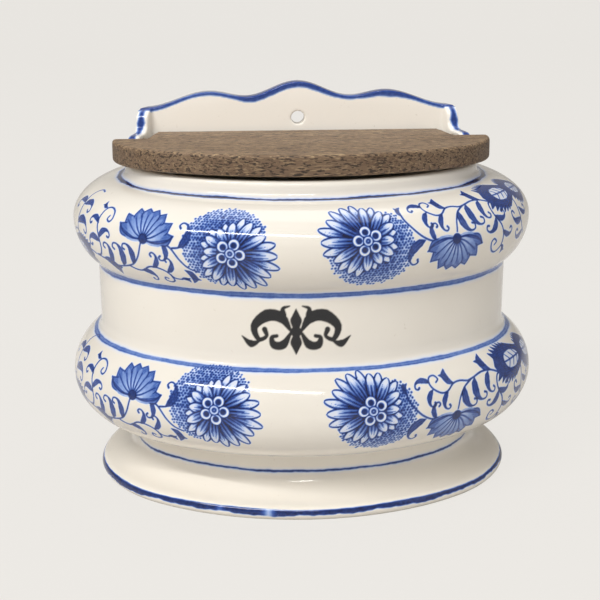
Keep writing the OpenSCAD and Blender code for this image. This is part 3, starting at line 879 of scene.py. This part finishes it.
class Nodes:
    """A short way to write a node material."""

    def __init__(self, name):
        self.material = bpy.data.materials.new(name)
        self.material.use_nodes = True
        self.tree = self.material.node_tree
        self.tree.nodes.clear()
        self.out = add_node(self.tree, "OutputMaterial")
        self.shader = add_node(self.tree, "BsdfPrincipled")
        put(self.tree, self.out.inputs[0], self.shader.outputs[0])

    def surface(self, inputs):
        """Links or sets inputs of the surface by name."""
        for name, value in inputs.items():
            put(self.tree, self.shader.inputs[name], value)

    def coords(self, scale=(1, 1, 1)):
        """Places on the object, stretched by a scale."""
        place = add_node(self.tree, "TexCoord").outputs["Object"]
        return add_node(self.tree, "Mapping", {"Vector": place, "Scale": scale}).outputs[0]

    def attribute(self, name):
        """A number that a mesh holds for each corner."""
        return add_node(self.tree, "Attribute", attribute_name=name).outputs["Fac"]

    def noise(self, vector, scale, detail, rough=0.55, distortion=0.0):
        """A cloudy pattern between 0 and 1."""
        return add_node(self.tree, "TexNoise", {
            "Vector": vector, "Scale": scale, "Detail": detail, "Roughness": rough,
            "Distortion": distortion}).outputs["Fac"]

    def ramp(self, fac, stops):
        """Colour stops between 0 and 1."""
        node = add_node(self.tree, "ValToRGB", {0: fac})
        ramp = node.color_ramp
        while len(ramp.elements) > 1:
            ramp.elements.remove(ramp.elements[-1])
        ramp.elements[0].position, ramp.elements[0].color = stops[0]
        for at, colour in stops[1:]:
            ramp.elements.new(at).color = colour
        return node.outputs[0]

    def grey_ramp(self, fac, *stops):
        """Stops of one number each."""
        return self.ramp(fac, [(at, (v, v, v, 1)) for at, v in stops])

    def math(self, op, a, b, clamp=False):
        """Two numbers brought together."""
        return add_node(self.tree, "Math", {0: a, 1: b}, operation=op,
                        use_clamp=clamp).outputs[0]

    def mix(self, fac, a, b):
        """Two colours mixed."""
        return add_node(self.tree, "Mix", {0: fac, 6: a, 7: b}, data_type="RGBA").outputs[2]

    def bump(self, height, strength, distance):
        """Fine relief from a height."""
        node = add_node(self.tree, "Bump",
                        {"Strength": strength, "Distance": distance, "Height": height})
        self.surface({"Normal": node.outputs[0]})


def linear(r, g, b):
    """Linear colour with full cover, from an sRGB colour written in 0 to 255."""
    def one(v):
        v /= 255
        return v / 12.92 if v <= 0.04045 else ((v + 0.055) / 1.055) ** 2.4
    return one(r), one(g), one(b), 1


# Glaze: its clouds, the painted light that whitens the foot and the backboard, its specks,
# the black paint, and the blue from a thin wash to thick paint
CLOUDS = ((0.3, linear(226, 219, 207)), (0.7, linear(231, 225, 214)))
PAINTED_LIGHT_WHITE, SPECK, BLACK = linear(252, 246, 235), linear(186, 172, 150), linear(5, 6, 12)
BLUES = ((0.02, linear(224, 226, 232)), (0.12, linear(196, 207, 232)),
         (0.30, linear(132, 158, 210)), (0.52, linear(70, 102, 172)),
         (0.74, linear(34, 64, 138)), (1, linear(4, 14, 56)))
# Share of the painted light's whiter glaze colour by height, as a part of the pot's height
PAINTED_LIGHT_AT = ((0.10, 0.4), (0.17, 0), (0.80, 0), (0.86, 1))
# Rates of the clouds, specks, paint grain and ripples, per metre
CLOUD_RATE, SPECK_RATE, GRAIN_RATE, RIPPLE_RATE = 16, 620, 800, 60
GRAIN_AMOUNT, GRAIN_GAIN = 0.34, 1.6
GLAZE_SHINE = {"Roughness": 0.11, "Specular IOR Level": 0.5, "Coat Weight": 0.3,
               "Coat Roughness": 0.04}
RIPPLE_STRENGTH, RIPPLE_DEPTH = 0.22, 0.0006


def glaze_material(name):
    """Ivory glaze with painted light on foot and backboard, blue or black where attributes say so.
    """
    n = Nodes(name)
    at = n.coords()
    cream = n.ramp(n.noise(at, CLOUD_RATE, 3.0), CLOUDS)
    split = add_node(n.tree, "SeparateXYZ", {0: at})
    # Painted light: the glaze colour turns whiter on the foot and on the backboard, by height
    painted_light_share = n.grey_ramp(n.math("DIVIDE", split.outputs[2], CREST_Z * MM), *PAINTED_LIGHT_AT)
    cream = n.mix(painted_light_share, cream, PAINTED_LIGHT_WHITE)
    specks = n.noise(at, SPECK_RATE, 2.0)
    cream = n.mix(n.grey_ramp(specks, (0.70, 0), (0.78, 0.22)), cream, SPECK)
    ink = n.attribute("ink")
    grain = n.noise(at, GRAIN_RATE, 3.0, 0.6)
    uneven = n.math("MULTIPLY", n.math("SUBTRACT", grain, 0.5), GRAIN_AMOUNT)
    strength = n.math("MULTIPLY", ink, GRAIN_GAIN, True)
    tone = n.math("ADD", ink, n.math("MULTIPLY", uneven, strength), True)
    colour = n.mix(n.grey_ramp(ink, (0.0, 0), (0.08, 1)), cream, n.ramp(tone, BLUES))
    n.surface({"Base Color": n.mix(n.attribute("jet"), colour, BLACK), **GLAZE_SHINE})
    n.bump(n.noise(at, RIPPLE_RATE, 2.0), RIPPLE_STRENGTH, RIPPLE_DEPTH)
    return n.material


# Wood: its broad bands, dark grain, light flecks, sides darkened by painted shade and partly
# by the end grain's own darker tone, and open pores
BANDS = ((0.3, linear(126, 101, 76)), (0.5, linear(148, 122, 95)), (0.72, linear(166, 141, 114)))
GRAIN, FLECK, SIDE_SHADE_AND_END_GRAIN, PORE = (linear(92, 70, 52), linear(192, 164, 124), linear(74, 54, 38),
                            linear(40, 29, 22))
GRAIN_SHARE, SIDE_SHADE_AND_END_GRAIN_SHARE, PORE_DEPTH = 0.55, 0.55, -0.9
# Stretch across the grain and rate per metre of the bands, grain, pores and flecks
BAND_SIZE, FIBRE_SIZE = (8, 22), (26, 60)
PORE_SIZE, FLECK_SIZE = (4.5, 380), (5.5, 330)
WOOD_RELIEF, WOOD_DEPTH = 0.4, 0.0004


def wood_material(name):
    """Weathered grey-brown wood, grain along the lid, dark open pores, painted shade on its sides.
    """
    n = Nodes(name)

    def along(size, *settings):
        stretch, rate = size
        return n.noise(n.coords((1.0, stretch, stretch)), rate, *settings)

    broad = along(BAND_SIZE, 4.0, 0.6, 0.5)
    fine = along(FIBRE_SIZE, 5.0, 0.7)
    pores = along(PORE_SIZE, 2.0, 0.6)
    light = along(FLECK_SIZE, 2.0, 0.6)
    base = n.mix(n.math("MULTIPLY", fine, GRAIN_SHARE), n.ramp(broad, BANDS), GRAIN)
    base = n.mix(n.grey_ramp(light, (0.54, 0), (0.62, 0.75)), base, FLECK)
    # Painted shade: the lid's sides darker than its top, partly the end grain's own darker tone
    base = n.mix(n.math("MULTIPLY", n.attribute("side"), SIDE_SHADE_AND_END_GRAIN_SHARE), base, SIDE_SHADE_AND_END_GRAIN)
    base = n.mix(n.grey_ramp(pores, (0.53, 0), (0.60, 0.88)), base, PORE)
    n.surface({"Base Color": base, "Roughness": n.grey_ramp(fine, (0.3, 0.5), (0.7, 0.66))})
    relief = n.math("ADD", fine, n.math("MULTIPLY", pores, PORE_DEPTH))
    n.bump(relief, WOOD_RELIEF, WOOD_DEPTH)
    return n.material


# Brass: rate of its tarnish per metre, and its linear colours from dull to bright
TARNISH_RATE = 300
BRASS = ((0.35, (0.42, 0.29, 0.12, 1)), (0.65, (0.62, 0.45, 0.19, 1)))


def brass_material(name):
    """Worn brass."""
    n = Nodes(name)
    tarnish = n.noise(n.coords(), TARNISH_RATE, 3.0)
    n.surface({"Base Color": n.ramp(tarnish, BRASS), "Metallic": 1.0,
               "Roughness": n.grey_ramp(tarnish, (0.3, 0.28), (0.7, 0.45))})
    return n.material


# Stage: floor colour as seen and as it lights the pot, share evened out, roughness, and in
# metres the backdrop's curve and the floor's reach
FLOOR, FLOOR_BOUNCE = linear(237, 234, 229), linear(214, 211, 207)
FLOOR_EVEN, FLOOR_ROUGH = 0.92, 0.95
SWEEP_START, SWEEP_R, SWEEP_TOP, SWEEP_SIDE = 1.6, 0.8, 3.5, 6
FLOOR_FRONT, SWEEP_STEPS = 8, 24


def floor_material(name, colour, bounce):
    """Plain floor that keeps the shadow, evened out where the camera sees it."""
    n = Nodes(name)
    n.surface({"Base Color": bounce, "Roughness": FLOOR_ROUGH, "Specular IOR Level": 0.0})
    seen = add_node(n.tree, "LightPath").outputs["Is Camera Ray"]
    glow = add_node(n.tree, "Emission", {"Color": colour, "Strength": 1.0})
    blend = add_node(n.tree, "MixShader", {0: n.math("MULTIPLY", seen, FLOOR_EVEN),
                                           1: n.shader.outputs[0], 2: glow.outputs[0]})
    put(n.tree, n.out.inputs[0], blend.outputs[0])
    return n.material


def stage_sweep():
    """A pale floor that curves up into a backdrop."""
    line = [(-FLOOR_FRONT, 0.0)]
    for i in range(SWEEP_STEPS + 1):
        a = math.pi / 2 * i / SWEEP_STEPS
        line.append((SWEEP_START + SWEEP_R * math.sin(a), SWEEP_R - SWEEP_R * math.cos(a)))
    line.append((SWEEP_START + SWEEP_R, SWEEP_TOP))
    verts = [(x, y, z) for y, z in line for x in (-SWEEP_SIDE, SWEEP_SIDE)]
    faces = np.array([[2 * i, 2 * i + 1, 2 * i + 3, 2 * i + 2] for i in range(len(line) - 1)])
    obj = new_object("floor_sweep", verts, faces)
    obj.data.materials.append(floor_material("floor_plain", FLOOR, FLOOR_BOUNCE))


# Lights: name, place, aim and size in metres, watts, and whether the glaze mirrors them. The
# thin strip makes the white streaks.
LIGHTS = (
    ("key_left", (-0.85, -1.05, 1.35), (0, 0, 0.07), (1, 0.8), 11.5, False),
    ("fill_right", (1.2, -0.5, 0.8), (0, 0, 0.07), (0.8, 0.8), 0.8, True),
    ("streak_left", (-0.41, -0.80, 1.02), (0, 0, 0.09), (1.25, 0.04), 9, True),
    ("top_soft", (0.1, 0.35, 1.5), (0, 0, 0), (1.1, 0.9), 4, True),
)
SKY, SKY_STRENGTH = (1, 0.99, 0.975, 1), 0.42


def area_light(name, place, aim, size, power, mirrored):
    """A soft lamp that points at a place."""
    data = bpy.data.lights.new(name, "AREA")
    data.shape = "RECTANGLE"
    data.size, data.size_y = size
    data.energy = power
    obj = bpy.data.objects.new(name, data)
    bpy.context.scene.collection.objects.link(obj)
    obj.location = place
    obj.rotation_euler = (Vector(aim) - Vector(place)).to_track_quat("-Z", "Y").to_euler()
    obj.visible_glossy = mirrored


def studio_world(colour, strength):
    """Soft light from all round, which the camera sees as the floor's own pale colour."""
    world = bpy.data.worlds.new("studio")
    bpy.context.scene.world = world
    world.use_nodes = True
    tree = world.node_tree
    sky = tree.nodes["Background"]
    sky.inputs["Color"].default_value = colour
    sky.inputs["Strength"].default_value = strength
    seen = add_node(tree, "LightPath").outputs["Is Camera Ray"]
    pale = add_node(tree, "Background", {"Color": FLOOR})
    blend = add_node(tree, "MixShader", {0: seen, 1: sky.outputs[0], 2: pale.outputs[0]})
    put(tree, tree.nodes["World Output"].inputs[0], blend.outputs[0])


# Camera: distance, height, focal length in picture widths, angles in degrees, the depth that
# it turns about, the picture's shift, and the sensor's width
CAM_DIST, CAM_H, CAM_FOCAL = 512, 191, 1417 / 600
CAM_PITCH, CAM_YAW, CAM_ROLL = 15.28, 3.3, -0.21
CAM_PIVOT = 30
CENTRE_SHIFT = 2.4 / 600
SENSOR = 36


def photo_camera():
    """The camera of the photo, fitted to the pot's outline."""
    data = bpy.data.cameras.new("photo_camera")
    data.sensor_width = SENSOR
    data.lens = CAM_FOCAL * SENSOR
    data.shift_x = -CENTRE_SHIFT
    cam = bpy.data.objects.new("photo_camera", data)
    bpy.context.scene.collection.objects.link(cam)
    yaw = math.radians(CAM_YAW)
    back = CAM_DIST - CAM_PIVOT
    x, y = -back * math.sin(yaw), -back * math.cos(yaw) - CAM_PIVOT
    cam.location = (x * MM, (y + HALF_DEPTH) * MM, CAM_H * MM)
    turn = Matrix.Rotation(-yaw, 4, "Z") @ Matrix.Rotation(math.radians(90 - CAM_PITCH), 4, "X")
    turn = turn @ Matrix.Rotation(math.radians(CAM_ROLL), 4, "Z")
    cam.rotation_euler = turn.to_euler()
    bpy.context.scene.camera = cam


section, rows = soft_section(GRID_STEP, SOFTNESS)
phi = columns(GRID_STEP)
upper = Canvas(*UPPER_CANVAS)
paint_bulge(upper, (0, 0), (0, 0), UPPER_DAISIES)
lower = Canvas(*LOWER_CANVAS)
paint_bulge(lower, LOW_LEFT_BY, LOW_RIGHT_BY, LOWER_DAISIES)
waist = Canvas(*WAIST_CANVAS)
paint_waist(waist)

cut_stem, cut_low, cut_up = (int(np.argmax(rows >= h)) for h in (CUT_STEM_H, CUT_LOW_H, CUT_UP_H))
cut_top = cut_up + int(np.argmax(section[cut_up:, 1] >= SKIN_TOP_Z))
glaze = glaze_material("ivory_glaze")
glazed = [
    skin("glaze_foot", 0, cut_stem, ink_foot),
    skin("glaze_lower_bulge", cut_stem, cut_low, ink_lower),
    skin("glaze_waist", cut_low, cut_up, ink_waist, waist.sample),
    skin("glaze_upper_bulge", cut_up, cut_top, ink_upper),
]
body = softened("crock", "glaze_inside_and_back", BODY_VOXEL, GLAZE_ROUNDS, COARSE_TO_Z)
drop_covered(body)
upstand = softened("crock", "glaze_backboard", BOARD_VOXEL, GLAZE_ROUNDS, FINE_FROM_Z, True)
drop_covered(upstand)
set_attribute(upstand, "ink", ink_upstand(vertex_array(upstand)))
glazed += [body, upstand]
for obj in glazed:
    obj.data.materials.clear()
    obj.data.materials.append(glaze)
    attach(obj, "crock")
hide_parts("crock")

lid = softened("lid", "lid_board", LID_VOXEL, WOOD_ROUNDS)
# How much each corner faces sideways, which places the painted shade on the lid's sides
set_attribute(lid, "side", [1 - abs(v.normal.z) for v in lid.data.vertices])
lid.data.materials.clear()
lid.data.materials.append(wood_material("lid_wood_grain"))
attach(lid, "lid")
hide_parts("lid")

brass = brass_material("pin_brass_worn")
for pin in ("hinge_pin_left", "hinge_pin_right"):
    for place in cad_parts[pin].material_slots:
        place.material = brass

stage_sweep()
for light in LIGHTS:
    area_light(*light)
studio_world(SKY, SKY_STRENGTH)
photo_camera()
bpy.context.scene.view_settings.view_transform = "Standard"
